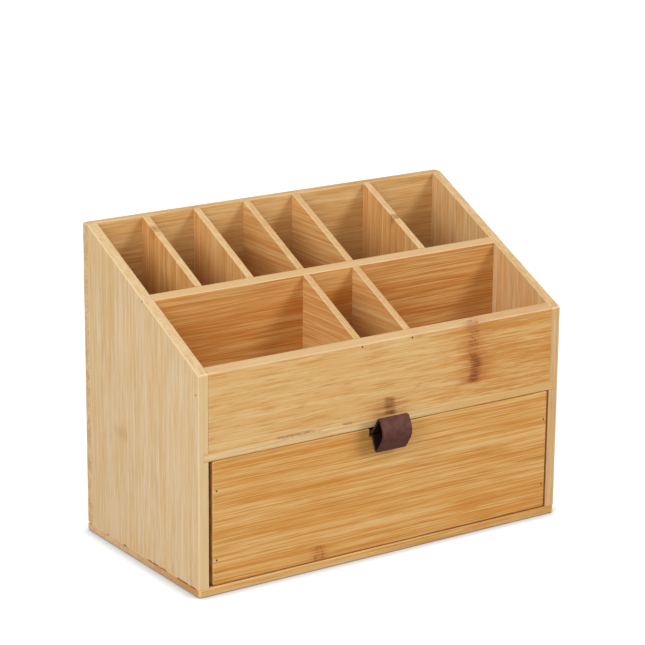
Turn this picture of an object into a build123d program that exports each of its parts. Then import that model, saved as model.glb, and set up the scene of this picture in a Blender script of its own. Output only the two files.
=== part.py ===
from build123d import *
import os

# Bamboo make-up organizer: a sloping open rack over one drawer, in millimetres.
# X runs left to right, the front faces -Y, Z is up, and the origin is the middle of the underside.

# Carcass
width = 255.0
depth = 130.0
back_height = 191.0
front_height = 132.0
base_thickness = 5.0
base_corner_radius = 2.0
side_thickness = 6.5
back_thickness = 6.5
back_corner_radius = 2.0
shelf_thickness = 5.0
drawer_bay_height = 75.5
housing_depth = 3.0

# Compartments above the shelf
front_panel_thickness = 5.5
front_row_depth = 53.0
cross_thickness = 5.0
divider_thickness = 4.6
narrow_slot = 30.5
narrow_slot_count = 4

# Drawer
drawer_left_gap = 2.65
drawer_right_gap = 1.35
front_top_gap = 0.5
front_bottom_gap = 0.7
runner_gap = 0.25
rear_stop_gap = 0.5
drawer_front_thickness = 6.0
drawer_corner_radius = 1.3
drawer_wall_thickness = 5.0
drawer_wall_height = 70.0
drawer_bottom_thickness = 3.0
bottom_lift = 4.0
groove_depth = 2.5

# Pull strap, a flat loop hung in a notch of the drawer front
pull_shift = -1.2
notch_width = 22.8
notch_depth = 5.0
strap_width = 20.6
strap_thickness = 1.6
strap_gap = 0.2
strap_rise = 8.3
strap_drop = 12.9
strap_top_reach = 8.4
strap_front_reach = 13.4
strap_fold_reach = 5.7
strap_bulge_height = 1.8
strap_bulge_radius = 8.6
strap_crease_radius = 0.6
strap_edge_radius = 0.3
strap_tail = 20.0
staple_width = 10.0
staple_wire = 1.0
staple_bite = 4.0
staple_drop = 6.0
staple_spacing = 8.0
staple_count = 2

# Brads and working clearances
brad_width = 1.1
brad_gauge = 0.9
brad_length = 16.0
brad_point = 2.0
brad_sink = 0.3
brad_clearance = 0.08
brad_below_slope = 1.6
brad_down_panel = 12.0
brad_end_margin = 18.0
drawer_brad_low = 15.5
drawer_brad_high = 57.0
fit_clearance = 0.1
outer_ease = 0.6
inner_ease = 0.4
flush_ease = 0.2

# Planes worked out from the sizes above
left, right = -width / 2, width / 2
front, back = -depth / 2, depth / 2
inner_left, inner_right = left + side_thickness, right - side_thickness
back_face = back - back_thickness
bay_top = base_thickness + drawer_bay_height
shelf_top = bay_top + shelf_thickness
panel_face = front + front_panel_thickness
cross_front = panel_face + front_row_depth
cross_back = cross_front + cross_thickness
drawer_left, drawer_right = inner_left + drawer_left_gap, inner_right - drawer_right_gap
pull_middle = (drawer_left + drawer_right) / 2 + pull_shift
drawer_front_face = front + drawer_front_thickness
drawer_rear = back_face - rear_stop_gap
drawer_floor = base_thickness + runner_gap
front_bottom, front_top = base_thickness + front_bottom_gap, bay_top - front_top_gap
notch_floor = front_top - notch_depth
wall_top = drawer_floor + drawer_wall_height

pieces = {}


def slope(y):
    # Height of the sloping top line at a given depth.
    return front_height + (back_height - front_height) * (y - front) / (back_face - front)


def board(x, y, z):
    # A flat board from its low and high limits.
    size = (x[1] - x[0], y[1] - y[0], z[1] - z[0])
    return Pos(x[0], y[0], z[0]) * Box(*size, align=(Align.MIN, Align.MIN, Align.MIN))


def sloped_board(x, y, bottom):
    # A board whose top edge is bevelled to the slope.
    outline = Polygon((y[0], bottom), (y[1], bottom), (y[1], slope(y[1])), (y[0], slope(y[0])), align=None)
    return extrude(Plane.YZ.offset(x[0]) * outline, x[1] - x[0])


def eased(shape):
    # Take the sharpness off every edge.
    return chamfer(shape.edges(), inner_ease)


def eased_top(shape, ease=inner_ease):
    # Take the sharpness off the two long edges of a board's top; its foot and ends are joints.
    top = shape.faces().sort_by(Axis.Z)[-1]
    return chamfer(top.edges().sort_by(SortBy.LENGTH)[-2:], ease)


def eased_side(shape, inner):
    # Take the sharpness off a side's top and front; its foot and rear edge are joints.
    # The front panel and the cross divider meet the inner edges flush, so those are barely touched.
    def is_free(edge):
        middle = edge.center()
        return middle.Y < back_face - outer_ease and middle.Z > base_thickness + outer_ease

    def is_inner(edge):
        return abs(edge.center().X - inner) < side_thickness / 4

    shape = chamfer(shape.edges().filter_by(is_free).filter_by(is_inner, reverse=True), outer_ease)
    return chamfer(shape.edges().filter_by(is_free).filter_by(is_inner), flush_ease)


def rounded(shape, axis, radius, rear_only=False):
    # Round the corners that run along an axis, then take the sharpness off the faces across it.
    corners = shape.edges().filter_by(axis)
    if rear_only:
        corners = corners.group_by(Axis.Y)[-1]
    shape = fillet(corners, radius)
    return chamfer(shape.faces().filter_by(axis).edges(), outer_ease)


def carcass():
    across = (inner_left, inner_right)
    lengthways = (front, back_face)

    base = board((left, right), (front, back), (0, base_thickness))
    pieces["base_panel"] = rounded(base, Axis.Z, base_corner_radius)

    back_board = board((left, right), (back_face, back), (base_thickness, back_height))
    pieces["back_panel"] = rounded(back_board, Axis.Z, back_corner_radius, rear_only=True)

    # Each side is housed for the ends of the shelf, from front to back.
    housing_height = (bay_top, shelf_top + fit_clearance)
    for name, outer, inner, reach in (
        ("left_side", left, inner_left, inner_left - housing_depth),
        ("right_side", right, inner_right, inner_right + housing_depth),
    ):
        side = eased_side(sloped_board(sorted((outer, inner)), lengthways, base_thickness), inner)
        pieces[name] = side - board(sorted((inner, reach)), lengthways, housing_height)

    tongue = housing_depth - fit_clearance
    shelf = board((inner_left - tongue, inner_right + tongue), lengthways, (bay_top, shelf_top))
    lower_front_edge = shelf.edges().group_by(Axis.Z)[0].sort_by(Axis.Y)[0]
    pieces["drawer_shelf"] = chamfer(lower_front_edge, inner_ease)

    pieces["front_panel"] = eased_top(sloped_board(across, (front, panel_face), shelf_top), outer_ease)
    pieces["cross_divider"] = eased_top(sloped_board(across, (cross_front, cross_back), shelf_top))


def rear_divider_centres():
    # Equal narrow slots from the left side, then the rest of the width in two equal wide slots.
    pitch = narrow_slot + divider_thickness
    centres = [inner_left + pitch * k - divider_thickness / 2 for k in range(1, narrow_slot_count + 1)]
    last_face = centres[-1] + divider_thickness / 2
    return centres + [(last_face + inner_right) / 2]


def front_divider_centres():
    # One narrow slot in the middle of the front row.
    offset = (narrow_slot + divider_thickness) / 2
    return [-offset, offset]


def dividers():
    half = divider_thickness / 2
    rows = (
        ("rear_divider", rear_divider_centres(), (cross_back, back_face)),
        ("front_divider", front_divider_centres(), (panel_face, cross_front)),
    )
    for name, centres, run in rows:
        for number, x in enumerate(centres, 1):
            pieces[f"{name}_{number}"] = eased_top(sloped_board((x - half, x + half), run, shelf_top))


def drawer():
    wall_z = (drawer_floor, wall_top)
    inside_left, inside_right = drawer_left + drawer_wall_thickness, drawer_right - drawer_wall_thickness
    inside_rear = drawer_rear - drawer_wall_thickness

    face_board = board((drawer_left, drawer_right), (front, drawer_front_face), (front_bottom, front_top))
    notch_ends = (pull_middle - notch_width / 2, pull_middle + notch_width / 2)
    notch = board(notch_ends, (front, drawer_front_face), (notch_floor, front_top))
    pieces["drawer_front"] = rounded(face_board, Axis.Y, drawer_corner_radius) - notch

    run = (drawer_front_face, drawer_rear)
    pieces["drawer_left_side"] = eased(board((drawer_left, inside_left), run, wall_z))
    pieces["drawer_right_side"] = eased(board((inside_right, drawer_right), run, wall_z))
    pieces["drawer_back"] = eased(board((inside_left, inside_right), (inside_rear, drawer_rear), wall_z))

    # The bottom slides in a groove that runs round all four walls.
    bottom_z = (drawer_floor + bottom_lift, drawer_floor + bottom_lift + drawer_bottom_thickness)
    groove = board(
        (inside_left - groove_depth, inside_right + groove_depth),
        (drawer_front_face - groove_depth, inside_rear + groove_depth),
        (bottom_z[0], bottom_z[1] + fit_clearance),
    )
    for name in ("drawer_front", "drawer_left_side", "drawer_right_side", "drawer_back"):
        pieces[name] -= groove
    tongue = groove_depth - fit_clearance
    pieces["drawer_bottom"] = board(
        (inside_left - tongue, inside_right + tongue),
        (drawer_front_face - tongue, inside_rear + tongue),
        bottom_z,
    )


def strap_route():
    # Middle line of the strap as forward reach and height: inside tail, through the notch on top,
    # up to the upper crease, round the bulging front, back from the lower crease and in again below.
    half = strap_thickness / 2
    pitch = strap_thickness + strap_gap
    lower_z = notch_floor + strap_gap / 2 + half
    upper_z = lower_z + pitch
    lower_tail = -drawer_front_thickness - strap_gap / 2 - half
    upper_tail = lower_tail - pitch
    tail_end = notch_floor - strap_tail
    lip = half + strap_gap
    crease = half + strap_crease_radius
    edge_bend = half + strap_edge_radius
    corners = [
        ((upper_tail, tail_end), None),
        ((upper_tail, upper_z), edge_bend + pitch),
        ((lip, upper_z), crease),
        ((strap_top_reach, front_top + strap_rise), crease),
        ((strap_front_reach, front_top + strap_bulge_height), strap_bulge_radius),
        ((strap_fold_reach, front_top - strap_drop), crease),
        ((lip + strap_gap, lower_z), edge_bend),
        ((lower_tail, lower_z), edge_bend),
        ((lower_tail, tail_end), None),
    ]
    points = [(pull_middle, front - reach, height) for (reach, height), _ in corners]
    radii = [radius for _, radius in corners if radius]
    return FilletPolyline(*points, radius=radii)


def staple(extra=0.0):
    # A wire bridge whose two legs point along -Z from the seat under its crown.
    half_width = staple_width / 2 + extra
    leg = 2 * (strap_thickness + strap_gap) + staple_bite + extra
    wire = staple_wire + 2 * extra
    outline = Rectangle(2 * half_width, leg + staple_wire, align=(Align.CENTER, Align.MAX))
    window = Rectangle(2 * (half_width - wire), leg, align=(Align.CENTER, Align.MAX))
    bridge = Pos(0, staple_wire) * outline - window
    return extrude(Plane.XZ * bridge, wire / 2, both=True)


def pull():
    route = strap_route()
    start = Plane(origin=route @ 0, x_dir=(1, 0, 0), z_dir=route % 0)
    strap = sweep(start * Rectangle(strap_width, strap_thickness), path=route)

    seat_y = drawer_front_face + 2 * (strap_thickness + strap_gap)
    staples = []
    for number in range(staple_count):
        z = notch_floor - staple_drop - number * staple_spacing
        seat = Plane(origin=(pull_middle, seat_y, z), x_dir=(1, 0, 0), z_dir=(0, 1, 0))
        staples.append(seat * staple())
        holes = seat * staple(fit_clearance)
        strap -= holes
        pieces["drawer_front"] -= holes
    pieces["pull_strap"] = strap
    pieces["strap_staples"] = Compound(children=staples)


def brad(extra=0.0, mouth=0.0):
    # A flat pin along -Z from its driven end, cut to a chisel point.
    half_width = brad_width / 2 + extra
    tip = brad_length + extra
    outline = Polygon(
        (-half_width, mouth),
        (half_width, mouth),
        (half_width, brad_point - tip),
        (0, -tip),
        (-half_width, brad_point - tip),
        align=None,
    )
    return extrude(Plane.XZ * outline, brad_gauge / 2 + extra, both=True)


def drive(name, places, boards):
    # Drive one brad at each place, against its outward direction, and pierce the boards for it.
    brads = []
    for point, outward in places:
        seat = Plane(origin=point, z_dir=outward).offset(-brad_sink)
        brads.append(seat * brad())
        hole = seat * brad(extra=brad_clearance, mouth=2 * brad_sink)
        for target in boards:
            pieces[target] -= hole
    pieces[name] = Compound(children=brads)


def brads():
    towards_front, towards_back, down = (0, -1, 0), (0, 1, 0), (0, 0, -1)
    cross_middle = (cross_front + cross_back) / 2
    panel_middle = (front + panel_face) / 2
    side_middle = side_thickness / 2
    wall_middle = drawer_wall_thickness / 2

    rack = front_divider_centres()
    drive(
        "front_panel_brads",
        [((x, front, front_height - brad_below_slope), towards_front) for x in rack],
        ["front_panel", "front_divider_1", "front_divider_2"],
    )

    side_points = [
        (cross_middle, slope(cross_middle) - brad_below_slope),
        (panel_middle, front_height - brad_down_panel),
    ]
    drive(
        "side_brads",
        [((x, y, z), (1 if x > 0 else -1, 0, 0)) for x in (left, right) for y, z in side_points],
        ["left_side", "right_side", "cross_divider", "front_panel"],
    )

    back_points = [(x, z) for x in (left + side_middle, right - side_middle)
                   for z in (shelf_top - 2 * brad_end_margin, back_height - brad_end_margin)]
    back_points += [(x, back_height - brad_end_margin) for x in rear_divider_centres()]
    rear_names = [f"rear_divider_{k}" for k in range(1, narrow_slot_count + 2)]
    drive(
        "back_brads",
        [((x, back, z), towards_back) for x, z in back_points],
        ["back_panel", "left_side", "right_side"] + rear_names,
    )

    base_points = [(x, y) for x in (left + side_middle, right - side_middle)
                   for y in (front + brad_end_margin, back_face - brad_end_margin)]
    drive(
        "base_brads",
        [((x, y, 0), down) for x, y in base_points],
        ["base_panel", "left_side", "right_side"],
    )

    drawer_rows = (drawer_floor + drawer_brad_low, drawer_floor + drawer_brad_high)
    drawer_edges = (drawer_left + wall_middle, drawer_right - wall_middle)
    drive(
        "drawer_front_brads",
        [((x, front, z), towards_front) for x in drawer_edges for z in drawer_rows],
        ["drawer_front", "drawer_left_side", "drawer_right_side"],
    )

    rear_middle = drawer_rear - wall_middle
    rear_points = [(x, z) for x in (drawer_left, drawer_right) for z in drawer_rows]
    drive(
        "drawer_back_brads",
        [((x, rear_middle, z), (1 if x > 0 else -1, 0, 0)) for x, z in rear_points],
        ["drawer_left_side", "drawer_right_side", "drawer_back"],
    )


carcass()
dividers()
drawer()
pull()
brads()

os.makedirs("parts", exist_ok=True)
for node, shape in pieces.items():
    export_step(shape, f"parts/{node}.step")
    print(node, round(shape.volume, 1))
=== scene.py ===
import math

import bpy
from mathutils import Matrix, Vector


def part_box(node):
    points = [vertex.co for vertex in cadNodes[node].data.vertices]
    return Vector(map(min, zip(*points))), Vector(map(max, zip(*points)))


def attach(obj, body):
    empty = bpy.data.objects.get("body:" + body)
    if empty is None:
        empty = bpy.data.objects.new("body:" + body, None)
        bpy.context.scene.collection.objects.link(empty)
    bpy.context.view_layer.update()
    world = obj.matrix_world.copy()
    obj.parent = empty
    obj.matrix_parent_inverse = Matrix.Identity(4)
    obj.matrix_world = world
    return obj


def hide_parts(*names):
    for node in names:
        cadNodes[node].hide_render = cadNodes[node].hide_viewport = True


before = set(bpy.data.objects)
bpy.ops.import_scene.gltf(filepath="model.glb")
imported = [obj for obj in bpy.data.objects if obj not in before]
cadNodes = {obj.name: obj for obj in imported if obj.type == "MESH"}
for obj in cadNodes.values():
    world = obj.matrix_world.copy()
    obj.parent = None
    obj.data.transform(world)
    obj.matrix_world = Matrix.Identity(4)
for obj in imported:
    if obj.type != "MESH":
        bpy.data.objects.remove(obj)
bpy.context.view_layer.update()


# Small helpers that put nodes into any tree

def feed(tree, socket, value):  # a socket takes a link or a plain value
    if isinstance(value, bpy.types.NodeSocket):
        tree.links.new(value, socket)
    else:
        socket.default_value = value


def put(tree, kind, feeds=None, **settings):  # one node, its settings and what goes into it
    node = tree.nodes.new(kind)
    for key, value in settings.items():
        setattr(node, key, value)
    for key, value in (feeds or {}).items():
        feed(tree, node.inputs[key], value)
    return node


def calc(tree, operation, *values):
    node = put(tree, "ShaderNodeMath", operation=operation)
    for socket, value in zip(node.inputs, values):
        feed(tree, socket, value)
    return node.outputs[0]


def vectorCalc(tree, operation, *values):
    node = put(tree, "ShaderNodeVectorMath", operation=operation)
    for socket, value in zip(node.inputs, values):
        feed(tree, socket, value)
    return node.outputs["Value" if operation in ("DOT_PRODUCT", "LENGTH") else "Vector"]


def fade(tree, value, atZero, atOne):  # smooth step, either way round
    node = put(tree, "ShaderNodeMapRange", interpolation_type="SMOOTHSTEP")
    for key, amount in (("Value", value), ("From Min", atZero), ("From Max", atOne)):
        feed(tree, node.inputs[key], amount)
    return node.outputs[0]


def mixColour(tree, amount, first, second):
    node = put(tree, "ShaderNodeMix", {0: amount, 6: first, 7: second}, data_type="RGBA")
    return node.outputs[2]


def overlay(tree, colour, mask, amount, second):  # lays a second colour over the first inside a mask
    return mixColour(tree, calc(tree, "MULTIPLY", mask, amount), colour, second)


# In noise and cells, stretch is the number of features per metre on each axis

def noise(tree, vector, stretch, detail=2.0, roughness=0.5):
    scaled = vectorCalc(tree, "MULTIPLY", vector, stretch)
    feeds = {"Vector": scaled, "Scale": 1.0, "Detail": detail, "Roughness": roughness}
    return put(tree, "ShaderNodeTexNoise", feeds).outputs["Fac"]


def cells(tree, vector, stretch, randomness=1.0):
    scaled = vectorCalc(tree, "MULTIPLY", vector, stretch)
    feeds = {"Vector": scaled, "Scale": 1.0, "Randomness": randomness}
    return put(tree, "ShaderNodeTexVoronoi", feeds).outputs


def xyz(tree, x, y, z):
    return put(tree, "ShaderNodeCombineXYZ", {"X": x, "Y": y, "Z": z}).outputs[0]


def newGroup(name, inputs, outputs, kind="ShaderNodeTree"):
    tree = bpy.data.node_groups.new(name, kind)
    for label, socketKind, value in inputs:
        socket = tree.interface.new_socket(label, in_out="INPUT", socket_type=socketKind)
        if value is not None:
            socket.default_value = value
    for label, socketKind in outputs:
        tree.interface.new_socket(label, in_out="OUTPUT", socket_type=socketKind)
    return tree, tree.nodes.new("NodeGroupInput").outputs, tree.nodes.new("NodeGroupOutput").inputs


def useGroup(tree, group, feeds):
    node = put(tree, "ShaderNodeGroup", node_tree=group)
    for key, value in feeds.items():
        feed(tree, node.inputs[key], value)
    return node.outputs


def paint(red, green, blue):  # a screen colour, 0 to 255, as scene light
    linear = [((c / 255 + 0.055) / 1.055) ** 2.4 for c in (red, green, blue)]
    return (*linear, 1.0)


# Shader groups: everything that more than one board shows

# In figureLook and scarLook, three numbers are features per metre with the grain, across it and
# through the board; two are the range of a fade, and one is a share or a size

figureLook = {
    "sway": (16, 45, 45), "broad": (5, 150, 110), "line": (11, 950, 760), "fibre": (42, 2300, 1900),
    "vein": (6, 430, 360), "thread": (9, 560, 470), "warmth": (8, 360, 360), "dashes": (80, 2600, 2600),
    "broadShare": 0.18, "lineShare": 0.52, "fibreShare": 0.30, "figureRange": (0.38, 0.62),
    "jumpAlong": 3.1, "jumpAcross": 0.7,
    "courseHalf": 0.055, "breaksAlong": 2.2, "breaksAcross": 90, "breakRange": (0.42, 0.60),
    "warmthRange": (0.40, 0.62), "dashRange": (0.61, 0.72),
    "seamHalf": 0.00035, "seamStep": 0.37, "seamStretch": (38, 1, 1),
    "seamRange": (0.54, 0.68), "seamFaint": 0.15,
}


# X of the vector runs with the grain, Y across the strips and Z through the board
def bambooFigureGroup():
    look = figureLook
    tree, given, out = newGroup(
        "bambooFigure",
        [
            ("Vector", "NodeSocketVector", None),
            ("Strip Width", "NodeSocketFloat", 0.0195),
            ("Strip Start", "NodeSocketFloat", 0.0),
            ("Seed", "NodeSocketFloat", 0.0),
            ("Line Length", "NodeSocketFloat", 1.0),
            ("Line Width", "NodeSocketFloat", 1.0),
            ("Waver", "NodeSocketFloat", 0.0008),
        ],
        [(label, "NodeSocketFloat") for label in
         ("Figure", "Vein", "Thread", "Warmth", "Fibre", "Dashes", "Strip Tone", "Seam")],
    )
    axes = put(tree, "ShaderNodeSeparateXYZ", {"Vector": given["Vector"]}).outputs
    fromStart = calc(tree, "SUBTRACT", axes["Y"], given["Strip Start"])
    stripAt = calc(tree, "DIVIDE", fromStart, given["Strip Width"])
    strip = calc(tree, "FLOOR", stripAt)
    stripPlace = xyz(tree, strip, given["Seed"], 0.0)
    draw = put(tree, "ShaderNodeTexWhiteNoise", {"Vector": stripPlace}).outputs
    drawn = put(tree, "ShaderNodeSeparateColor", {"Color": draw["Color"]}).outputs

    sway = calc(tree, "SUBTRACT", noise(tree, given["Vector"], look["sway"], 1.0), 0.5)
    acrossNow = calc(tree, "MULTIPLY_ADD", sway, given["Waver"], axes["Y"])
    along = calc(tree, "DIVIDE", axes["X"], given["Line Length"])
    across = calc(tree, "DIVIDE", acrossNow, given["Line Width"])
    ownPlace = xyz(  # every strip was cut from another place of the culm
        tree,
        calc(tree, "MULTIPLY_ADD", drawn[0], look["jumpAlong"], along),
        calc(tree, "MULTIPLY_ADD", drawn[1], look["jumpAcross"], across),
        calc(tree, "ADD", axes["Z"], given["Seed"]),
    )
    broad = noise(tree, ownPlace, look["broad"])
    line = noise(tree, ownPlace, look["line"], 3.0, 0.72)
    fibre = noise(tree, ownPlace, look["fibre"], 2.0, 0.55)
    mixed = calc(tree, "MULTIPLY", line, look["lineShare"])
    mixed = calc(tree, "MULTIPLY_ADD", broad, look["broadShare"], mixed)
    mixed = calc(tree, "MULTIPLY_ADD", fibre, look["fibreShare"], mixed)
    feed(tree, out["Figure"], fade(tree, mixed, *look["figureRange"]))
    for label in ("Vein", "Thread"):  # thin lines that come and go
        spread = look[label.lower()]
        course = calc(tree, "ABSOLUTE", calc(tree, "SUBTRACT", noise(tree, ownPlace, spread, 1.0), 0.5))
        breaks = (spread[0] * look["breaksAlong"], look["breaksAcross"], spread[2])
        shown = fade(tree, noise(tree, ownPlace, breaks, 1.0), *look["breakRange"])
        course = fade(tree, course, look["courseHalf"], 0.0)
        feed(tree, out[label], calc(tree, "MULTIPLY", course, shown))
    warmth = noise(tree, ownPlace, look["warmth"])
    feed(tree, out["Warmth"], fade(tree, warmth, *look["warmthRange"]))
    feed(tree, out["Fibre"], fibre)
    dashes = noise(tree, ownPlace, look["dashes"], 1.0)
    feed(tree, out["Dashes"], fade(tree, dashes, *look["dashRange"]))
    feed(tree, out["Strip Tone"], draw["Value"])

    inStrip = calc(tree, "FRACT", stripAt)
    toSeam = calc(tree, "MINIMUM", inStrip, calc(tree, "SUBTRACT", 1.0, inStrip))
    toSeam = calc(tree, "MULTIPLY", toSeam, given["Strip Width"])
    stretchPlace = xyz(tree, axes["X"], calc(tree, "MULTIPLY", strip, look["seamStep"]), given["Seed"])
    stretch = fade(tree, noise(tree, stretchPlace, look["seamStretch"]), *look["seamRange"])
    stretch = calc(tree, "MULTIPLY_ADD", stretch, 1 - look["seamFaint"], look["seamFaint"])
    joint = fade(tree, toSeam, look["seamHalf"], 0.0)
    feed(tree, out["Seam"], calc(tree, "MULTIPLY", joint, stretch))
    return tree


scarLook = {
    "wander": (0, 210, 120), "wanderBy": 1.6,
    "fray": (120, 900, 500), "frayBy": 0.5, "window": (1.05, 0.75),
    "blotch": (170, 560, 560), "blotchRange": (0.32, 0.60), "blotchShare": 0.50,
    "hatch": (75, 1700, 900), "hatchRange": (0.38, 0.58), "hatchShare": 0.45, "stainRange": (1.7, 0.2),
    "tongues": (45, 1100, 900), "tongueRange": (0.34, 0.60), "flameHeart": 0.4,
    "pores": (600, 570, 300), "poreScatter": 0.50, "poreEdge": (0.56, 0.26),
    "poreStrength": (-0.10, 0.45), "rowsAt": 0.55, "rowsRange": (0.70, 0.30),
}


def nodeScarGroup():  # where a leaf sheath grew: a stain, flames along the grain and rows of dots
    look = scarLook
    tree, given, out = newGroup(
        "nodeScar",
        [
            ("Vector", "NodeSocketVector", None),
            ("Half Length", "NodeSocketFloat", 0.003),
            ("Half Width", "NodeSocketFloat", 0.008),
            ("Flare", "NodeSocketFloat", 3.0),
            ("Seed", "NodeSocketFloat", 0.0),
        ],
        [("Stain", "NodeSocketFloat"), ("Flame", "NodeSocketFloat"), ("Dots", "NodeSocketFloat")],
    )
    seedPlace = xyz(tree, 0.0, 0.0, given["Seed"])  # no two scars alike
    vector = vectorCalc(tree, "ADD", given["Vector"], seedPlace)
    axes = put(tree, "ShaderNodeSeparateXYZ", {"Vector": given["Vector"]}).outputs
    wander = calc(tree, "SUBTRACT", noise(tree, vector, look["wander"]), 0.5)
    along = calc(tree, "DIVIDE", axes["X"], given["Half Length"])
    along = calc(tree, "ABSOLUTE", calc(tree, "MULTIPLY_ADD", wander, look["wanderBy"], along))
    frayed = calc(tree, "SUBTRACT", noise(tree, vector, look["fray"]), 0.5)
    across = calc(tree, "DIVIDE", calc(tree, "ABSOLUTE", axes["Y"]), given["Half Width"])
    window = fade(tree, calc(tree, "MULTIPLY_ADD", frayed, look["frayBy"], across), *look["window"])

    blotch = fade(tree, noise(tree, vector, look["blotch"], 3.0), *look["blotchRange"])
    blotch = calc(tree, "MULTIPLY_ADD", blotch, look["blotchShare"], 1 - look["blotchShare"])
    hatch = fade(tree, noise(tree, vector, look["hatch"], 2.0), *look["hatchRange"])
    hatch = calc(tree, "MULTIPLY_ADD", hatch, look["hatchShare"], 1 - look["hatchShare"])
    stain = calc(tree, "MULTIPLY", fade(tree, along, *look["stainRange"]), blotch)
    stain = calc(tree, "MULTIPLY", stain, hatch)
    feed(tree, out["Stain"], calc(tree, "MULTIPLY", stain, window))

    tongues = fade(tree, noise(tree, vector, look["tongues"], 2.0), *look["tongueRange"])
    flame = calc(tree, "MULTIPLY", fade(tree, along, given["Flare"], look["flameHeart"]), tongues)
    feed(tree, out["Flame"], calc(tree, "MULTIPLY", flame, window))

    pore = cells(tree, vector, look["pores"], look["poreScatter"])
    strength = put(tree, "ShaderNodeSeparateColor", {"Color": pore["Color"]}).outputs[0]
    strength = fade(tree, strength, *look["poreStrength"])
    dot = calc(tree, "MULTIPLY", fade(tree, pore["Distance"], *look["poreEdge"]), strength)
    fromRow = calc(tree, "ABSOLUTE", calc(tree, "SUBTRACT", along, look["rowsAt"]))
    dot = calc(tree, "MULTIPLY", dot, fade(tree, fromRow, *look["rowsRange"]))
    feed(tree, out["Dots"], calc(tree, "MULTIPLY", dot, window))
    return tree


grimeAndShadeLook = {"crumbs": (420, 1200, 600), "crumbRange": (0.34, 0.54),
             "ends": (1.1, 0.7), "edges": (1.0, 0.3), "inward": (1.0, 0.6)}
cutEndLook = {"facing": (0.74, 0.86), "bundles": (150, 950, 380), "bundleEdge": (0.52, 0.18),
              "clouds": (60, 170, 420), "cloudRange": (0.36, 0.64)}
edgeLook = {"arris": (0.96, 0.88), "planed": (0.955, 0.985)}


def jointGrimeAndShadeGroup():  # dark stretches of glue and shade where two boards meet; X runs along the joint
    look = grimeAndShadeLook
    tree, given, out = newGroup(
        "jointGrimeAndShade",
        [
            ("Vector", "NodeSocketVector", None),
            ("Half Length", "NodeSocketFloat", 0.01),
            ("Half Width", "NodeSocketFloat", 0.0014),
            ("Depth", "NodeSocketFloat", 0.0020),
        ],
        [("Mask", "NodeSocketFloat")],
    )
    axes = put(tree, "ShaderNodeSeparateXYZ", {"Vector": given["Vector"]}).outputs
    along = calc(tree, "DIVIDE", calc(tree, "ABSOLUTE", axes["X"]), given["Half Length"])
    across = calc(tree, "DIVIDE", calc(tree, "ABSOLUTE", axes["Y"]), given["Half Width"])
    inward = calc(tree, "DIVIDE", calc(tree, "ABSOLUTE", axes["Z"]), given["Depth"])
    crumbs = fade(tree, noise(tree, given["Vector"], look["crumbs"], 2.0), *look["crumbRange"])
    crumbs = calc(tree, "MULTIPLY", crumbs, fade(tree, inward, *look["inward"]))
    line = calc(tree, "MULTIPLY", fade(tree, along, *look["ends"]), fade(tree, across, *look["edges"]))
    feed(tree, out["Mask"], calc(tree, "MULTIPLY", line, crumbs))
    return tree


def cutEndsGroup():  # faces that cut the grain show the fibre bundles as dots
    look = cutEndLook
    tree, given, out = newGroup(
        "cutEnds",
        [("Vector", "NodeSocketVector", None), ("Grain Axis", "NodeSocketVector", (1.0, 0.0, 0.0))],
        [("Mask", "NodeSocketFloat"), ("Bundles", "NodeSocketFloat"), ("Clouds", "NodeSocketFloat")],
    )
    facing = put(tree, "ShaderNodeTexCoord").outputs["Normal"]
    turnedAway = calc(tree, "ABSOLUTE", vectorCalc(tree, "DOT_PRODUCT", facing, given["Grain Axis"]))
    feed(tree, out["Mask"], fade(tree, turnedAway, *look["facing"]))
    bundle = cells(tree, given["Vector"], look["bundles"])
    strength = put(tree, "ShaderNodeSeparateColor", {"Color": bundle["Color"]}).outputs[0]
    spot = fade(tree, bundle["Distance"], *look["bundleEdge"])
    feed(tree, out["Bundles"], calc(tree, "MULTIPLY", spot, strength))
    clouds = noise(tree, given["Vector"], look["clouds"], 2.0)
    feed(tree, out["Clouds"], fade(tree, clouds, *look["cloudRange"]))
    return tree


def edgeWearAndHighlightGroup():  # the eased arrises, painted paler as sanding wear and painted highlight, and the tops that were planed to one slope
    tree, given, out = newGroup(
        "edgeWearAndHighlight",
        [("Slope Normal", "NodeSocketVector", (0.0, 0.0, 1.0))],
        [("Arris", "NodeSocketFloat"), ("Planed", "NodeSocketFloat")],
    )
    facing = put(tree, "ShaderNodeTexCoord").outputs["Normal"]
    parts = put(tree, "ShaderNodeSeparateXYZ", {"Vector": vectorCalc(tree, "ABSOLUTE", facing)}).outputs
    flattest = calc(tree, "MAXIMUM", calc(tree, "MAXIMUM", parts["X"], parts["Y"]), parts["Z"])
    onSlope = vectorCalc(tree, "DOT_PRODUCT", facing, given["Slope Normal"])
    feed(tree, out["Arris"], fade(tree, calc(tree, "MAXIMUM", flattest, onSlope), *edgeLook["arris"]))
    feed(tree, out["Planed"], fade(tree, onSlope, *edgeLook["planed"]))
    return tree


bambooFigure = bambooFigureGroup()
nodeScar = nodeScarGroup()
jointGrimeAndShade = jointGrimeAndShadeGroup()
cutEnds = cutEndsGroup()
edgeWearAndHighlight = edgeWearAndHighlightGroup()
# the joint grime group paints glue and painted shade
# the sanded edges group paints edge wear and painted highlight
print("shader groups: bamboo figure, node scar, joint grime, cut ends, sanded edges")


# Bamboo boards

axisOf = {"X": Vector((1, 0, 0)), "Y": Vector((0, 1, 0)), "Z": Vector((0, 0, 1))}

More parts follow.
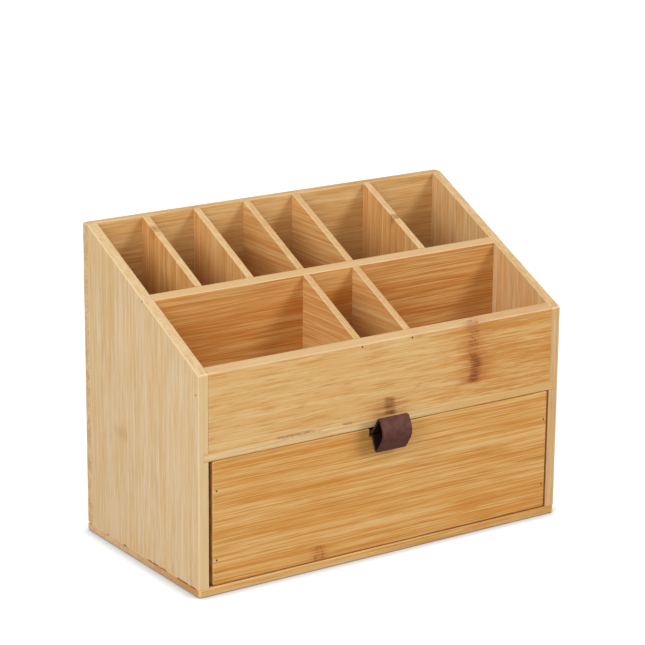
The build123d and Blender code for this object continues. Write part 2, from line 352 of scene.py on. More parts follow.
bambooTones = {
    "side": {"pale": paint(224, 200, 166), "mid": paint(217, 188, 146), "deep": paint(209, 172, 114),
             "warm": paint(222, 178, 120), "end": paint(222, 193, 148), "endDeep": paint(212, 178, 130)},
    "sideWarm": {"pale": paint(220, 190, 146), "mid": paint(212, 174, 122), "deep": paint(200, 150, 88),
                 "warm": paint(212, 158, 96), "end": paint(220, 188, 140),
                 "endDeep": paint(204, 162, 108)},
    "front": {"pale": paint(226, 188, 128), "mid": paint(215, 164, 94), "deep": paint(196, 130, 54),
              "warm": paint(214, 150, 72), "end": paint(196, 146, 88), "endDeep": paint(168, 114, 62)},
    "drawer": {"pale": paint(228, 187, 122), "mid": paint(214, 157, 78), "deep": paint(194, 121, 41),
               "warm": paint(212, 142, 58), "end": paint(198, 148, 94), "endDeep": paint(170, 116, 66)},
    "rack": {"pale": paint(220, 176, 110), "mid": paint(205, 145, 74), "deep": paint(184, 112, 44),
             "warm": paint(206, 130, 54), "end": paint(224, 192, 140), "endDeep": paint(208, 162, 102)},
    "divider": {"pale": paint(224, 188, 132), "mid": paint(210, 160, 97), "deep": paint(191, 131, 70),
                "warm": paint(210, 146, 80), "end": paint(224, 192, 140),
                "endDeep": paint(208, 162, 102)},
    "base": {"pale": paint(224, 184, 122), "mid": paint(214, 165, 96), "deep": paint(198, 138, 64),
             "warm": paint(212, 150, 76), "end": paint(216, 182, 142), "endDeep": paint(200, 144, 86)},
    "shelf": {"pale": paint(234, 204, 154), "mid": paint(228, 194, 142), "deep": paint(214, 170, 104),
              "warm": paint(226, 184, 126), "end": paint(214, 176, 124), "endDeep": paint(196, 150, 96)},
    "plain": {"pale": paint(226, 192, 138), "mid": paint(214, 172, 112), "deep": paint(200, 146, 80),
              "warm": paint(212, 160, 92), "end": paint(220, 188, 140), "endDeep": paint(204, 162, 112)},
}
bambooFinish = {
    "dash": paint(170, 108, 54), "seam": paint(150, 92, 46), "stain": paint(122, 55, 12),
    "flame": paint(178, 98, 32), "dots": paint(146, 77, 35), "grimeAndShade": paint(134, 72, 42),
    "bundle": paint(188, 140, 84), "stripWidth": 0.0195, "rampMiddle": 0.48, "driftLength": 0.09,
    "warmthMix": 0.40, "threadMix": 0.60, "veinMix": 0.65, "dashMix": 0.20, "seamMix": 0.35,
    "bundleMix": 0.60, "cloudMix": 0.35, "endReach": 0.050, "frontRange": (0.90, 0.97), "frontMix": 0.6,
    "dashDepth": -0.5, "seamDepth": -0.6, "bump": 0.20, "bumpDepth": 0.00015,
    "roughness": 0.39, "fibreRough": 0.14, "endRough": 0.18,
    "shine": 0.30, "coat": 0.04, "coatRoughness": 0.30,
}
plainBoard = {
    "lineLength": 1.0, "lineWidth": 1.0, "stripContrast": 0.3,
    "shift": 0.0, "drift": 0.0, "driftFrom": 0.0,
    "edge": 0.5, "arrisWearAndHighlight": paint(238, 212, 168), "planed": 0.5, "planedShade": paint(213, 180, 131),
}

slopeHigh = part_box("left_side")[1]
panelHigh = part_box("front_panel")[1]
slopeNormal = Vector((0, panelHigh.z - slopeHigh.z, slopeHigh.y - panelHigh.y)).normalized()

boards = {
    "left_side": {"tone": "side", "grain": "Z", "across": "Y", "seed": 1.3, "start": 0.004,
                  "lineLength": 0.8, "lineWidth": 1.8, "stripContrast": 0.15, "planed": 0.25,
                  "frontEdge": paint(228, 194, 140)},
    "right_side": {"tone": "sideWarm", "grain": "Z", "across": "Y", "seed": 7.9, "start": 0.009,
                   "lineLength": 0.8, "lineWidth": 1.8, "stripContrast": 0.15, "planed": 0.25},
    "back_panel": {"tone": "plain", "grain": "X", "across": "Z", "seed": 2.2, "start": 0.003,
                   "lineLength": 0.6},
    "base_panel": {"tone": "base", "grain": "X", "across": "Y", "seed": 4.6, "start": 0.001,
                   "shift": -0.42, "drift": 0.78, "driftFrom": -0.05, "endShift": -0.02},
    "drawer_shelf": {"tone": "shelf", "grain": "X", "across": "Y", "seed": 5.1, "start": 0.008,
                     "drift": 0.45, "driftFrom": -0.02},
    "front_panel": {"tone": "front", "grain": "X", "across": "Z", "seed": 3.7, "start": 0.0925,
                    "lineLength": 0.42, "lineWidth": 0.80, "stripContrast": 0.10,
                    "shift": -0.40, "drift": 0.62, "driftFrom": 0.0,
                    "edge": 0.4, "arrisWearAndHighlight": paint(209, 193, 153),
                    "planed": 0.65, "planedShade": paint(206, 175, 132)},
    "cross_divider": {"tone": "rack", "grain": "X", "across": "Z", "seed": 6.4, "start": 0.006,
                      "planed": 0.8},
    "rear_divider_1": {"tone": "divider", "grain": "Z", "across": "Y", "seed": 8.2, "start": 0.011},
    "rear_divider_2": {"tone": "divider", "grain": "Z", "across": "Y", "seed": 9.5, "start": 0.002},
    "rear_divider_3": {"tone": "divider", "grain": "Y", "across": "Z", "seed": 10.1, "start": 0.007},
    "rear_divider_4": {"tone": "divider", "grain": "Y", "across": "Z", "seed": 11.8, "start": 0.013},
    "rear_divider_5": {"tone": "divider", "grain": "Z", "across": "Y", "seed": 12.6, "start": 0.005},
    "front_divider_1": {"tone": "divider", "grain": "Y", "across": "Z", "seed": 13.3, "start": 0.010},
    "front_divider_2": {"tone": "divider", "grain": "Y", "across": "Z", "seed": 14.9, "start": 0.001},
    "drawer_front": {"tone": "drawer", "grain": "X", "across": "Z", "seed": 15.4, "start": 0.0145,
                     "lineWidth": 0.78, "stripContrast": 0.25, "drift": 0.08, "edge": 0.15},
    "drawer_left_side": {"tone": "plain", "grain": "Y", "across": "Z", "seed": 16.2, "start": 0.004},
    "drawer_right_side": {"tone": "plain", "grain": "Y", "across": "Z", "seed": 17.7, "start": 0.012},
    "drawer_back": {"tone": "plain", "grain": "X", "across": "Z", "seed": 18.5, "start": 0.006},
    "drawer_bottom": {"tone": "plain", "grain": "X", "across": "Y", "seed": 19.1, "start": 0.003},
}
# Each scar: middle in the part's frame, half length, half width, flare, seed and the strength of
# its stain, flame and dots
scars = {
    "front_panel": [
        ((0.0640, -0.0625, 0.1040), 0.0036, 0.0098, 5.0, 0.31, 0.90, 0.85, 0.60),
        ((0.0625, -0.0625, 0.1225), 0.0034, 0.0120, 3.8, 0.72, 0.20, 0.60, 0.95),
        ((0.0030, -0.0625, 0.0915), 0.0034, 0.0058, 6.0, 3.41, 0.90, 0.75, 0.60),
    ],
    "drawer_front": [((-0.0464, -0.0620, 0.0105), 0.0034, 0.0050, 2.6, 1.58, 0.12, 0.60, 0.85)],
    "left_side": [((-0.1243, 0.0220, 0.0740), 0.0026, 0.0085, 3.0, 2.04, 0.06, 0.22, 0.16)],
    "rear_divider_1": [((-0.0882, 0.0470, 0.1850), 0.0040, 0.0026, 2.0, 2.47, 0.30, 0.30, 0.50)],
    "rear_divider_5": [((0.0702, 0.0270, 0.1750), 0.0040, 0.0022, 2.0, 2.93, 0.40, 0.40, 0.50)],
}
# Each dark stretch of a joint, glue and painted shade: middle, the way it runs, half length and strength
grimeAndShade = {
    "front_panel": [
        ((-0.0637, -0.0650, 0.0860), "X", 0.0135, 0.55),
        ((-0.0275, -0.0650, 0.0860), "X", 0.0035, 0.50),
    ],
    "drawer_shelf": [((-0.0600, -0.0650, 0.0853), "X", 0.0170, 0.35)],
    "base_panel": [
        ((-0.1275, y, 0.0048), "Y", half, strength) for y, half, strength in (
            (0.0605, 0.0015, 0.55), (0.0396, 0.0016, 0.60), (0.0187, 0.0022, 0.80),
            (-0.0180, 0.0120, 0.85), (-0.0510, 0.0120, 0.90))
    ],
}


# Turns the part's axes so that X runs along the first and Y along the second
def turned(grain, across):
    return Matrix((axisOf[grain], axisOf[across], axisOf[grain].cross(axisOf[across])))


def centredOn(tree, objectPlace, middle, turn):
    feeds = {"Vector": objectPlace, "Location": -(turn @ Vector(middle)), "Rotation": turn.to_euler("XYZ")}
    return put(tree, "ShaderNodeMapping", feeds).outputs[0]


def bambooMaterial(name, boardLook):
    look = {**plainBoard, **boardLook}
    tone = bambooTones[look["tone"]]
    finish = bambooFinish
    material = bpy.data.materials.new("bamboo_" + name)
    material.use_nodes = True
    tree = material.node_tree
    shader = tree.nodes["Principled BSDF"]
    turn = turned(look["grain"], look["across"])
    objectPlace = put(tree, "ShaderNodeTexCoord").outputs["Object"]
    grainPlace = centredOn(tree, objectPlace, (0, 0, 0), turn)
    axes = put(tree, "ShaderNodeSeparateXYZ", {"Vector": grainPlace}).outputs

    figure = useGroup(tree, bambooFigure, {
        "Vector": grainPlace, "Strip Width": finish["stripWidth"], "Strip Start": look["start"],
        "Seed": look["seed"], "Line Length": look["lineLength"], "Line Width": look["lineWidth"]})
    drifted = fade(tree, axes["X"], look["driftFrom"], look["driftFrom"] + finish["driftLength"])
    depth = calc(tree, "ADD", figure["Figure"], look["shift"])
    depth = calc(tree, "MULTIPLY_ADD", drifted, look["drift"], depth)
    stripShift = calc(tree, "SUBTRACT", figure["Strip Tone"], 0.5)
    depth = calc(tree, "MULTIPLY_ADD", stripShift, look["stripContrast"], depth)
    ramp = put(tree, "ShaderNodeValToRGB", {"Fac": depth})
    ramp.color_ramp.elements[0].color = tone["pale"]
    ramp.color_ramp.elements[1].color = tone["deep"]
    middle = ramp.color_ramp.elements.new(finish["rampMiddle"])
    middle.color = tone["mid"]
    colour = overlay(tree, ramp.outputs[0], figure["Warmth"], finish["warmthMix"], tone["warm"])
    colour = overlay(tree, colour, figure["Thread"], finish["threadMix"], tone["deep"])
    colour = overlay(tree, colour, figure["Vein"], finish["veinMix"], tone["pale"])
    colour = overlay(tree, colour, figure["Dashes"], finish["dashMix"], finish["dash"])
    colour = overlay(tree, colour, figure["Seam"], finish["seamMix"], finish["seam"])
    height = calc(tree, "MULTIPLY_ADD", figure["Dashes"], finish["dashDepth"], figure["Fibre"])
    height = calc(tree, "MULTIPLY_ADD", figure["Seam"], finish["seamDepth"], height)

    ends = useGroup(tree, cutEnds, {"Vector": grainPlace, "Grain Axis": axisOf[look["grain"]]})
    endDepth = ends["Clouds"]
    if "endShift" in look:  # the strips' ends grow darker towards the front
        reach, shift = finish["endReach"], look["endShift"]
        towardsFront = fade(tree, axes["Y"], reach + shift, shift - reach)
        endDepth = calc(tree, "MULTIPLY_ADD", ends["Clouds"], finish["cloudMix"], towardsFront)
    endColour = mixColour(tree, endDepth, tone["end"], tone["endDeep"])
    endColour = overlay(tree, endColour, ends["Bundles"], finish["bundleMix"], finish["bundle"])
    colour = mixColour(tree, ends["Mask"], colour, endColour)
    if "frontEdge" in look:
        facing = put(tree, "ShaderNodeTexCoord").outputs["Normal"]
        onFront = vectorCalc(tree, "DOT_PRODUCT", facing, (0.0, -1.0, 0.0))
        onFront = fade(tree, onFront, *finish["frontRange"])
        colour = overlay(tree, colour, onFront, finish["frontMix"], look["frontEdge"])
    edges = useGroup(tree, edgeWearAndHighlight, {"Slope Normal": slopeNormal})
    colour = overlay(tree, colour, edges["Planed"], look["planed"], look["planedShade"])
    # arrises painted paler: part sanding wear, part painted highlight
    colour = overlay(tree, colour, edges["Arris"], look["edge"], look["arrisWearAndHighlight"])

    for middleAt, halfLength, halfWidth, flare, seed, *amounts in scars.get(name, []):
        scar = useGroup(tree, nodeScar, {
            "Vector": centredOn(tree, objectPlace, middleAt, turn), "Half Length": halfLength,
            "Half Width": halfWidth, "Flare": flare, "Seed": seed})
        stainAmount, flameAmount, dotAmount = amounts
        for label, amount in (("Flame", flameAmount), ("Stain", stainAmount), ("Dots", dotAmount)):
            colour = overlay(tree, colour, scar[label], amount, finish[label.lower()])

    # dark joint stretches: glue and painted shade where two boards meet
    for middleAt, runs, halfLength, strength in grimeAndShade.get(name, []):
        place = centredOn(tree, objectPlace, middleAt, turned(runs, "Z"))
        dirtAndShade = useGroup(tree, jointGrimeAndShade, {"Vector": place, "Half Length": halfLength})
        colour = overlay(tree, colour, dirtAndShade["Mask"], strength, finish["grimeAndShade"])

    feed(tree, shader.inputs["Base Color"], colour)
    rough = calc(tree, "MULTIPLY_ADD", figure["Fibre"], finish["fibreRough"], finish["roughness"])
    rough = calc(tree, "MULTIPLY_ADD", ends["Mask"], finish["endRough"], rough)
    feed(tree, shader.inputs["Roughness"], rough)
    shader.inputs["Specular IOR Level"].default_value = finish["shine"]
    shader.inputs["Coat Weight"].default_value = finish["coat"]
    shader.inputs["Coat Roughness"].default_value = finish["coatRoughness"]
    bump = put(tree, "ShaderNodeBump", {
        "Strength": finish["bump"], "Distance": finish["bumpDepth"], "Height": height})
    feed(tree, shader.inputs["Normal"], bump.outputs[0])
    return material


for nodeName, look in boards.items():
    cadNodes[nodeName].data.materials.clear()
    cadNodes[nodeName].data.materials.append(bambooMaterial(nodeName, look))
print("bamboo boards:", len(boards))


# Leather and steel

strapLow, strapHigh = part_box("pull_strap")
leatherLook = {
    "light": paint(102, 64, 55), "dark": paint(88, 54, 46), "cutEdge": paint(76, 46, 44),
    "fleshAndShade": paint(36, 20, 18), "loopDepth": 0.0062, "loopDrop": 0.0095, "insideRange": (-0.05, -0.45),
    "pebbles": (2300, 2300, 2300), "clouds": (260, 260, 260), "cloudRange": (0.35, 0.65),
    "pores": (3800, 3800, 3800), "poreRange": (0.62, 0.74), "poreMix": 0.15, "edgeRange": (0.45, 0.85),
    "roughness": 0.54, "cloudRough": 0.16, "shine": 0.14,
    "bump": 0.18, "bumpDepth": 0.0001, "pebbleHeight": 0.8, "poreHeight": -0.6,
}
steelLook = {
    "brad_steel": {"clean": paint(128, 84, 52), "stained": paint(84, 48, 26),
                   "metallic": 0.25, "roughness": 0.50},
    "staple_steel": {"clean": paint(196, 196, 194), "stained": paint(150, 146, 140),
                     "metallic": 1.0, "roughness": 0.22},
}
steelWear = {"patches": (900, 900, 900), "patchRange": (0.38, 0.62), "patchRough": 0.2,
             "scratches": (400, 6000, 400), "bump": 0.15, "bumpDepth": 0.0001}


def leatherMaterial():
    look = leatherLook
    material = bpy.data.materials.new("brown_leather")
    material.use_nodes = True
    tree = material.node_tree
    shader = tree.nodes["Principled BSDF"]
    place = put(tree, "ShaderNodeTexCoord").outputs["Object"]
    pebble = cells(tree, place, look["pebbles"])["Distance"]
    cloud = noise(tree, place, look["clouds"], 3.0)
    pores = fade(tree, noise(tree, place, look["pores"], 1.0), *look["poreRange"])
    colour = mixColour(tree, fade(tree, cloud, *look["cloudRange"]), look["light"], look["dark"])
    colour = overlay(tree, colour, pores, look["poreMix"], look["dark"])
    facing = put(tree, "ShaderNodeTexCoord").outputs["Normal"]
    sideways = calc(tree, "ABSOLUTE", vectorCalc(tree, "DOT_PRODUCT", facing, (1.0, 0.0, 0.0)))
    colour = mixColour(tree, fade(tree, sideways, *look["edgeRange"]), colour, look["cutEdge"])
    loopMiddle = (0.0, strapLow.y + look["loopDepth"], strapHigh.z - look["loopDrop"])
    fromLoop = vectorCalc(tree, "SUBTRACT", place, loopMiddle)  # the flesh side faces the loop's middle; it is painted near-black, the flesh tone plus painted shade inside the loop
    fromLoop = vectorCalc(tree, "NORMALIZE", vectorCalc(tree, "MULTIPLY", fromLoop, (0.0, 1.0, 1.0)))
    inside = fade(tree, vectorCalc(tree, "DOT_PRODUCT", fromLoop, facing), *look["insideRange"])
    # inner faces of the loop: flesh tone darkened as painted shade
    colour = mixColour(tree, inside, colour, look["fleshAndShade"])
    feed(tree, shader.inputs["Base Color"], colour)
    rough = calc(tree, "MULTIPLY_ADD", cloud, look["cloudRough"], look["roughness"])
    feed(tree, shader.inputs["Roughness"], rough)
    shader.inputs["Specular IOR Level"].default_value = look["shine"]
    height = calc(tree, "MULTIPLY", pebble, look["pebbleHeight"])
    height = calc(tree, "MULTIPLY_ADD", pores, look["poreHeight"], height)
    bump = put(tree, "ShaderNodeBump", {
        "Strength": look["bump"], "Distance": look["bumpDepth"], "Height": height})
    feed(tree, shader.inputs["Normal"], bump.outputs[0])
    return material


def steelMaterial(name):
    look, wear = steelLook[name], steelWear
    material = bpy.data.materials.new(name)
    material.use_nodes = True
    tree = material.node_tree
    shader = tree.nodes["Principled BSDF"]
    place = put(tree, "ShaderNodeTexCoord").outputs["Object"]
    patch = fade(tree, noise(tree, place, wear["patches"], 3.0), *wear["patchRange"])
    scratch = noise(tree, place, wear["scratches"])
    feed(tree, shader.inputs["Base Color"], mixColour(tree, patch, look["clean"], look["stained"]))
    rough = calc(tree, "MULTIPLY_ADD", patch, wear["patchRough"], look["roughness"])
    feed(tree, shader.inputs["Roughness"], rough)
    shader.inputs["Metallic"].default_value = look["metallic"]
    bump = put(tree, "ShaderNodeBump", {
        "Strength": wear["bump"], "Distance": wear["bumpDepth"], "Height": scratch})
    feed(tree, shader.inputs["Normal"], bump.outputs[0])
    return material


leather = leatherMaterial()
bradSteel = steelMaterial("brad_steel")
stapleSteel = steelMaterial("staple_steel")
print("leather and steel ready")


# Geometry Nodes: a section swept along a bent path, and brads set on points

swellStretch = (240, 240, 240)
bradForm = {"rings": 40, "headTaper": 38.0, "headSize": 0.84,
            "pointTaper": 7.5, "tipSize": 0.12, "step": 0.00022}


def roundedSection(tree, width, height, corner, step):
    section = put(tree, "GeometryNodeCurvePrimitiveQuadrilateral", {"Width": width, "Height": height})
    section = put(tree, "GeometryNodeFilletCurve", {
        "Curve": section.outputs[0], "Count": 6, "Radius": corner, "Limit Radius": True}, mode="POLY")
    section = put(tree, "GeometryNodeResampleCurve", {
        "Curve": section.outputs[0], "Length": step}, mode="LENGTH")
    return section.outputs[0]


def named(tree, label, kind):
    return put(tree, "GeometryNodeInputNamedAttribute", {"Name": label}, data_type=kind).outputs[0]


def finishTree(tree, geometry, given, out):
    smooth = put(tree, "GeometryNodeSetShadeSmooth", {"Geometry": geometry})
    real = put(tree, "GeometryNodeRealizeInstances", {"Geometry": smooth.outputs[0]})
    dressed = put(tree, "GeometryNodeSetMaterial", {
        "Geometry": real.outputs[0], "Material": given["Finish"]})
    feed(tree, out["Geometry"], dressed.outputs[0])


def sweptPathTree():
    tree, given, out = newGroup(
        "sweptPath",
        [
            ("Geometry", "NodeSocketGeometry", None),
            ("Width", "NodeSocketFloat", 0.02),
            ("Thickness", "NodeSocketFloat", 0.0016),
            ("Corner", "NodeSocketFloat", 0.0004),
            ("Step", "NodeSocketFloat", 0.0003),
            ("Unevenness", "NodeSocketFloat", 0.0),
            ("Finish", "NodeSocketMaterial", None),
        ],
        [("Geometry", "NodeSocketGeometry")],
        "GeometryNodeTree",
    )
    bend = named(tree, "bendRadius", "FLOAT")
    path = put(tree, "GeometryNodeMeshToCurve", {"Mesh": given["Geometry"]})
    path = put(tree, "GeometryNodeFilletCurve", {
        "Curve": path.outputs[0], "Count": 14, "Radius": bend, "Limit Radius": True}, mode="POLY")
    path = put(tree, "GeometryNodeResampleCurve", {
        "Curve": path.outputs[0], "Length": given["Step"]}, mode="LENGTH")
    section = roundedSection(tree, given["Width"], given["Thickness"], given["Corner"], given["Step"])
    swept = put(tree, "GeometryNodeCurveToMesh", {
        "Curve": path.outputs[0], "Profile Curve": section, "Fill Caps": True})
    where = put(tree, "GeometryNodeInputPosition").outputs[0]
    outward = put(tree, "GeometryNodeInputNormal").outputs[0]
    swell = calc(tree, "SUBTRACT", noise(tree, where, swellStretch, 2.0), 0.5)
    swell = calc(tree, "MULTIPLY", swell, given["Unevenness"])
    moved = put(tree, "ShaderNodeVectorMath", {0: outward}, operation="SCALE")
    feed(tree, moved.inputs["Scale"], swell)
    soft = put(tree, "GeometryNodeSetPosition", {
        "Geometry": swept.outputs[0], "Offset": moved.outputs[0]})
    finishTree(tree, soft.outputs[0], given, out)
    return tree


def bradSetTree():
    tree, given, out = newGroup(
        "bradSet",
        [
            ("Geometry", "NodeSocketGeometry", None),
            ("Width", "NodeSocketFloat", 0.0013),
            ("Gauge", "NodeSocketFloat", 0.0011),
            ("Length", "NodeSocketFloat", 0.016),
            ("Corner", "NodeSocketFloat", 0.0003),
            ("Finish", "NodeSocketMaterial", None),
        ],
        [("Geometry", "NodeSocketGeometry")],
        "GeometryNodeTree",
    )
    form = bradForm
    tip = xyz(tree, 0.0, 0.0, calc(tree, "MULTIPLY", given["Length"], -1.0))
    shank = put(tree, "GeometryNodeCurvePrimitiveLine", {"End": tip})
    shank = put(tree, "GeometryNodeResampleCurve", {
        "Curve": shank.outputs[0], "Count": form["rings"]}, mode="COUNT")
    down = put(tree, "GeometryNodeSplineParameter").outputs["Factor"]
    belowHead = calc(tree, "MINIMUM", calc(tree, "MULTIPLY", down, form["headTaper"]), 1.0)
    headRound = calc(tree, "MULTIPLY_ADD", belowHead, 1 - form["headSize"], form["headSize"])
    toTip = calc(tree, "SUBTRACT", 1.0, down)
    point = calc(tree, "MULTIPLY_ADD", toTip, form["pointTaper"], form["tipSize"])
    taper = calc(tree, "MINIMUM", headRound, point)
    section = roundedSection(tree, given["Width"], given["Gauge"], given["Corner"], form["step"])
    brad = put(tree, "GeometryNodeCurveToMesh", {
        "Curve": shank.outputs[0], "Profile Curve": section, "Scale": taper, "Fill Caps": True})
    outward, wide = named(tree, "outward", "FLOAT_VECTOR"), named(tree, "wide", "FLOAT_VECTOR")
    turn = put(tree, "FunctionNodeAxesToRotation", {0: outward, 1: wide},
               primary_axis="Z", secondary_axis="X")
    driven = put(tree, "GeometryNodeInstanceOnPoints", {
        "Points": given["Geometry"], "Instance": brad.outputs[0], "Rotation": turn.outputs[0]})
    finishTree(tree, driven.outputs[0], given, out)
    return tree


# Runs a tree once on loose points or paths, and keeps the result as a plain mesh
def grow(name, points, edges, attributes, tree, sizes):
    mesh = bpy.data.meshes.new(name)
    mesh.from_pydata(points, edges, [])
    for label, (kind, values) in attributes.items():
        layer = mesh.attributes.new(label, kind, "POINT")
        layer.data.foreach_set("vector" if kind == "FLOAT_VECTOR" else "value", values)
    piece = bpy.data.objects.new(name, mesh)
    bpy.context.scene.collection.objects.link(piece)
    modifier = piece.modifiers.new(name, "NODES")
    modifier.node_group = tree
    for item in tree.interface.items_tree:
        if item.in_out == "INPUT" and item.name in sizes:
            modifier[item.identifier] = sizes[item.name]
    grown = piece.evaluated_get(bpy.context.evaluated_depsgraph_get())
    plain = bpy.data.meshes.new_from_object(grown)
    piece.modifiers.remove(modifier)
    piece.data = plain
    plain.name = name
    return piece


sweptPath = sweptPathTree()
bradSet = bradSetTree()


# The folded leather pull

frontLow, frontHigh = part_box("drawer_front")
pullStrap = {
    "thickness": 0.0016, "layerGap": 0.0002, "corner": 0.00045, "step": 0.0003, "unevenness": 0.00016,
    "notchDepth": 0.0050, "rise": 0.0087, "drop": 0.0140, "topReach": 0.0077, "frontReach": 0.0133,
    "foldReach": 0.0050, "bulgeHeight": -0.0017, "bulgeRadius": 0.0086,
    "crease": 0.0006, "edgeBend": 0.0003,
}


def strapPath():  # the middle line as forward reach, height and bend radius at each corner
    s = pullStrap
    half, pitch = s["thickness"] / 2, s["thickness"] + s["layerGap"]
    boardThickness = frontHigh.y - frontLow.y
    top = frontHigh.z
    lower = top - s["notchDepth"] + s["layerGap"] / 2 + half
    upper = lower + pitch
    innerTail = -boardThickness - s["layerGap"] / 2 - half
    outerTail = innerTail - pitch
    lip = half + s["layerGap"]
    crease, edgeBend = half + s["crease"], half + s["edgeBend"]
    return [
        (outerTail, strapLow.z, 0.0),
        (outerTail, upper, edgeBend + pitch),
        (lip, upper, crease),
        (s["topReach"], top + s["rise"], crease),
        (s["frontReach"], top + s["bulgeHeight"], s["bulgeRadius"]),
        (s["foldReach"], top - s["drop"], crease),
        (lip + s["layerGap"], lower, edgeBend),
        (innerTail, lower, edgeBend),
        (innerTail, strapLow.z, 0.0),
    ]


def leatherPull():
    path = strapPath()
    middle = (strapLow.x + strapHigh.x) / 2
    points = [(middle, frontLow.y - reach, height) for reach, height, bend in path]
    edges = [(k, k + 1) for k in range(len(points) - 1)]
    bends = [bend for reach, height, bend in path]
    piece = grow("leather_pull", points, edges, {"bendRadius": ("FLOAT", bends)}, sweptPath, {
        "Width": strapHigh.x - strapLow.x, "Thickness": pullStrap["thickness"],
        "Corner": pullStrap["corner"], "Step": pullStrap["step"],
        "Unevenness": pullStrap["unevenness"], "Finish": leather})
    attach(piece, "drawer")
    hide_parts("pull_strap")
    return piece


strapPiece = leatherPull()
strapSizes = [round(v, 4) for v in strapPiece.dimensions]
print("leather pull:", len(strapPiece.data.polygons), "faces", strapSizes)


# Staples behind the drawer front, and the brads of each body

stapleSet = {"wire": 0.0010, "bend": 0.0009, "count": 2, "roundness": 0.95, "step": 0.00025}
bradSpread = 0.003  # points of one brad lie closer together than this
bradGroups = {
    "carcass": {"front_panel_brads": "Y-", "side_brads": "X", "back_brads": "Y+", "base_brads": "Z-"},
    "drawer": {"drawer_front_brads": "Y-", "drawer_back_brads": "X"},
}


def strapStaples():
    low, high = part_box("strap_staples")
    half = stapleSet["wire"] / 2
    firstZ, lastZ = low.z + half, high.z - half
    points, edges, bends = [], [], []
    for number in range(stapleSet["count"]):
        z = firstZ + (lastZ - firstZ) * number / (stapleSet["count"] - 1)
        start = len(points)
        corners = [(low.x + half, low.y, 0.0), (low.x + half, high.y - half, stapleSet["bend"]),
                   (high.x - half, high.y - half, stapleSet["bend"]), (high.x - half, low.y, 0.0)]
        points += [(x, y, z) for x, y, bend in corners]
        bends += [bend for x, y, bend in corners]
        edges += [(start + k, start + k + 1) for k in range(3)]
    piece = grow("wire_staples", points, edges, {"bendRadius": ("FLOAT", bends)}, sweptPath, {
        "Width": stapleSet["wire"], "Thickness": stapleSet["wire"],
        "Corner": half * stapleSet["roundness"], "Step": stapleSet["step"],
        "Unevenness": 0.0, "Finish": stapleSteel})
    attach(piece, "drawer")
    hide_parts("strap_staples")
    return piece


# The driven end, outward direction, wide direction and sizes of each brad in a group
def bradPlaces(node, outwardKey):
    axis = "XYZ".index(outwardKey[0])
    others = [k for k in range(3) if k != axis]
    signs = {"-": -1, "+": 1}  # a key with no sign points away from the middle
    clusters = []
    for vertex in cadNodes[node].data.vertices:
        sign = signs.get(outwardKey[1:], math.copysign(1, vertex.co.x))
        for found in clusters:
            near = all(abs(found["first"][k] - vertex.co[k]) < bradSpread for k in others)
            if near and found["sign"] == sign:
                found["points"].append(vertex.co)
                break
        else:
            clusters.append({"first": vertex.co, "sign": sign, "points": [vertex.co]})
    places = []
    for found in clusters:
        low = [min(p[k] for p in found["points"]) for k in range(3)]
        high = [max(p[k] for p in found["points"]) for k in range(3)]
        end = [(low[k] + high[k]) / 2 for k in range(3)]
        end[axis] = high[axis] if found["sign"] > 0 else low[axis]
        outward = Vector((0, 0, 0))
        outward[axis] = found["sign"]
        wideAxis = max(others, key=lambda k: high[k] - low[k])
        wide = Vector((0, 0, 0))
        wide[wideAxis] = 1
        gauge = min(high[k] - low[k] for k in others)
        sizes = (high[wideAxis] - low[wideAxis], gauge, high[axis] - low[axis])
        places.append((end, outward, wide, sizes))
    return places


def bradPiece(body):
    places = [p for node, key in bradGroups[body].items() for p in bradPlaces(node, key)]
    width, gauge, length = places[0][3]
    piece = grow(body + "_brads", [p[0] for p in places], [], {
        "outward": ("FLOAT_VECTOR", [c for p in places for c in p[1]]),
        "wide": ("FLOAT_VECTOR", [c for p in places for c in p[2]]),
    }, bradSet, {"Width": width, "Gauge": gauge, "Length": length, "Finish": bradSteel})
    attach(piece, body)
    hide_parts(*bradGroups[body])
    return len(places)


strapStaples()
for body in bradGroups:
    print("brads on the", body + ":", bradPiece(body))


# Floor, light and camera

studio = {
    "floorHalf": 14.0, "floorDrop": 0.0002, "floorShade": paint(188, 188, 188), "floorRoughness": 0.9,
    "floorShine": 0.1, "floorGlow": 0.74, "glowTint": (0.92, 0.965, 1.0, 1.0),
    "contactReach": 0.010, "contactShade": 0.72, "sky": 0.34, "skyTint": (1.0, 1.0, 1.0, 1.0),
    "lights": {  # place, width, power
        "right": ((1.55, -1.75, 1.15), 0.9, 30.5),
        "left": ((-1.90, -0.75, 1.15), 1.5, 36.0),
        "top": ((0.00, -0.10, 2.20), 1.7, 8.0),
        "back": ((0.20, 2.00, 1.40), 1.2, 14.0),
    },
    "aim": (0.0, 0.0, 0.08),
}
photoCamera = {
    "place": (-0.8328, -1.2300, 0.5694), "azimuth": -34.055, "pitch": 16.622, "roll": 0.508,
    "focalPixels": 2600.0, "framePixels": 645.0, "sensor": 36.0, "clipEnd": 30.0,
}


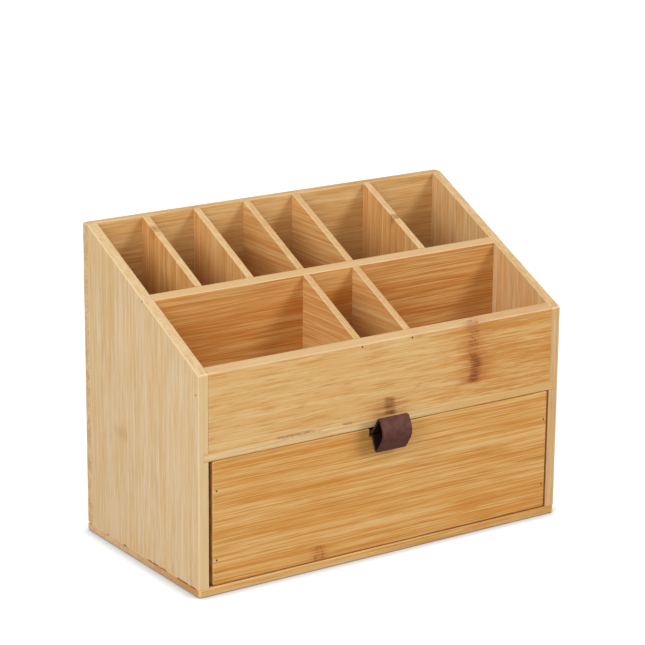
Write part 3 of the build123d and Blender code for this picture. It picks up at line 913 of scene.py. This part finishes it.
def layFloor():
    half, drop = studio["floorHalf"], -studio["floorDrop"]
    mesh = bpy.data.meshes.new("floor")
    corners = [(-half, -half, drop), (half, -half, drop), (half, half, drop), (-half, half, drop)]
    mesh.from_pydata(corners, [], [(0, 1, 2, 3)])
    material = bpy.data.materials.new("pale_floor")
    material.use_nodes = True
    tree = material.node_tree
    shader = tree.nodes["Principled BSDF"]
    shader.inputs["Base Color"].default_value = studio["floorShade"]
    shader.inputs["Roughness"].default_value = studio["floorRoughness"]
    shader.inputs["Specular IOR Level"].default_value = studio["floorShine"]
    shader.inputs["Emission Color"].default_value = studio["glowTint"]
    seen = put(tree, "ShaderNodeLightPath").outputs["Is Camera Ray"]
    # Only the camera sees the floor's glow, which dims beside the part as a contact shadow
    reach = {"Distance": studio["contactReach"]}
    openSky = put(tree, "ShaderNodeAmbientOcclusion", reach).outputs["AO"]
    shadeSpan = 2 * studio["contactShade"]
    lit = calc(tree, "MAXIMUM", calc(tree, "MULTIPLY_ADD", openSky, shadeSpan, 1 - shadeSpan), 0.0)
    glow = calc(tree, "MULTIPLY", lit, studio["floorGlow"])
    feed(tree, shader.inputs["Emission Strength"], calc(tree, "MULTIPLY", seen, glow))
    mesh.materials.append(material)
    floor = bpy.data.objects.new("floor", mesh)
    bpy.context.scene.collection.objects.link(floor)


def hangLights():
    world = bpy.data.worlds.new("studio")
    world.use_nodes = True
    tree = world.node_tree
    sky = tree.nodes.get("Background")
    sky.inputs["Color"].default_value = studio["skyTint"]
    # White to the eye, dimmer as a light
    seen = put(tree, "ShaderNodeLightPath").outputs["Is Camera Ray"]
    skyStrength = calc(tree, "MULTIPLY_ADD", seen, 1.0 - studio["sky"], studio["sky"])
    feed(tree, sky.inputs["Strength"], skyStrength)
    bpy.context.scene.world = world
    for name, (spot, size, power) in studio["lights"].items():
        lamp = bpy.data.lights.new(name, "AREA")
        lamp.size = size
        lamp.energy = power
        holder = bpy.data.objects.new(name, lamp)
        holder.location = spot
        towards = Vector(studio["aim"]) - Vector(spot)
        holder.rotation_euler = towards.to_track_quat("-Z", "Y").to_euler()
        bpy.context.scene.collection.objects.link(holder)


def setCamera():
    c = photoCamera
    lens = bpy.data.cameras.new("photoCamera")
    lens.sensor_width = c["sensor"]
    lens.lens = c["focalPixels"] / c["framePixels"] * c["sensor"]
    lens.clip_end = c["clipEnd"]
    camera = bpy.data.objects.new("photoCamera", lens)
    turn = Matrix.Rotation(math.radians(c["azimuth"]), 4, "Z")
    turn = turn @ Matrix.Rotation(math.radians(90.0 - c["pitch"]), 4, "X")
    turn = turn @ Matrix.Rotation(math.radians(c["roll"]), 4, "Z")
    camera.matrix_world = Matrix.Translation(c["place"]) @ turn
    bpy.context.scene.collection.objects.link(camera)
    bpy.context.scene.camera = camera


layFloor()
hangLights()
setCamera()
bpy.context.scene.view_settings.view_transform = "Standard"
print("floor, lights and camera set")
